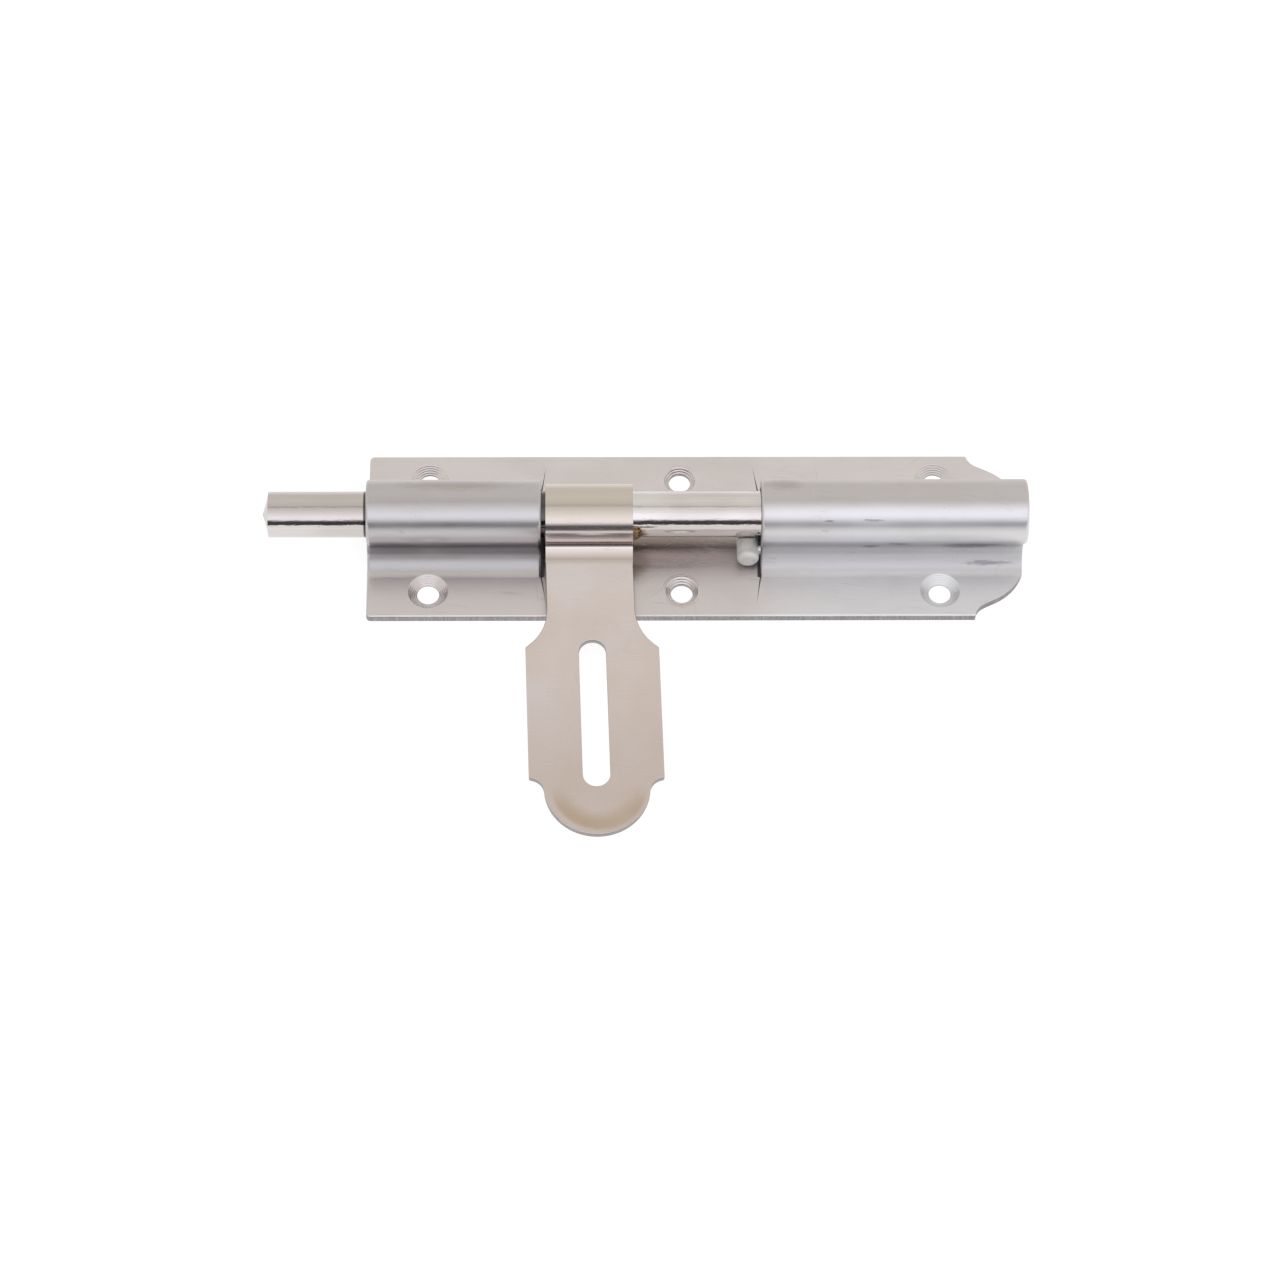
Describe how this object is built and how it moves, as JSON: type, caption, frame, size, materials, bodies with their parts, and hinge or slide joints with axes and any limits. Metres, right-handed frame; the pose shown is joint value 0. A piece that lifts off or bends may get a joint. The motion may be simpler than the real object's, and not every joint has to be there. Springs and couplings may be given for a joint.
{
  "type": "barrel bolt",
  "caption": "Surface-mounted sliding barrel bolt with a pressed sheet body, round bolt and a slotted padlock hasp.",
  "frame": {"origin": "centre of the body plate's back face, the face that lies on the door", "axes": "+X along the bolt, away from its free end; +Y away from the hasp; +Z out of the door"},
  "size_m": [0.1736, 0.1014, 0.0183],
  "materials": {
    "body_sheet": "satin stainless sheet, fine grain along the bolt",
    "bolt_steel": "polished stainless bar",
    "hasp_sheet": "satin stainless strip, fine grain down the blade",
    "weld_metal": "small tack weld with brown heat tint",
    "stud_steel": "turned stainless stud"
  },
  "bodies": {
    "root": {"body_plate": "body_sheet", "stop_stud": "stud_steel", "stop_stud_weld": "weld_metal"},
    "bolt": {"bolt_rod": "bolt_steel"},
    "hasp": {"hasp": "hasp_sheet", "hasp_tack_weld": "weld_metal"}
  },
  "joints": [
    {"name": "bolt_slide", "type": "slide", "parent": "root", "child": "bolt", "axis": [1, 0, 0], "range_m": [-0.0006, 0.0232]},
    {"name": "hasp_turn", "type": "hinge", "parent": "bolt", "child": "hasp", "pos_m": [-0.0245, 0, 0.0102], "axis": [-1, 0, 0], "range_deg": [0, 180]}
  ]
}
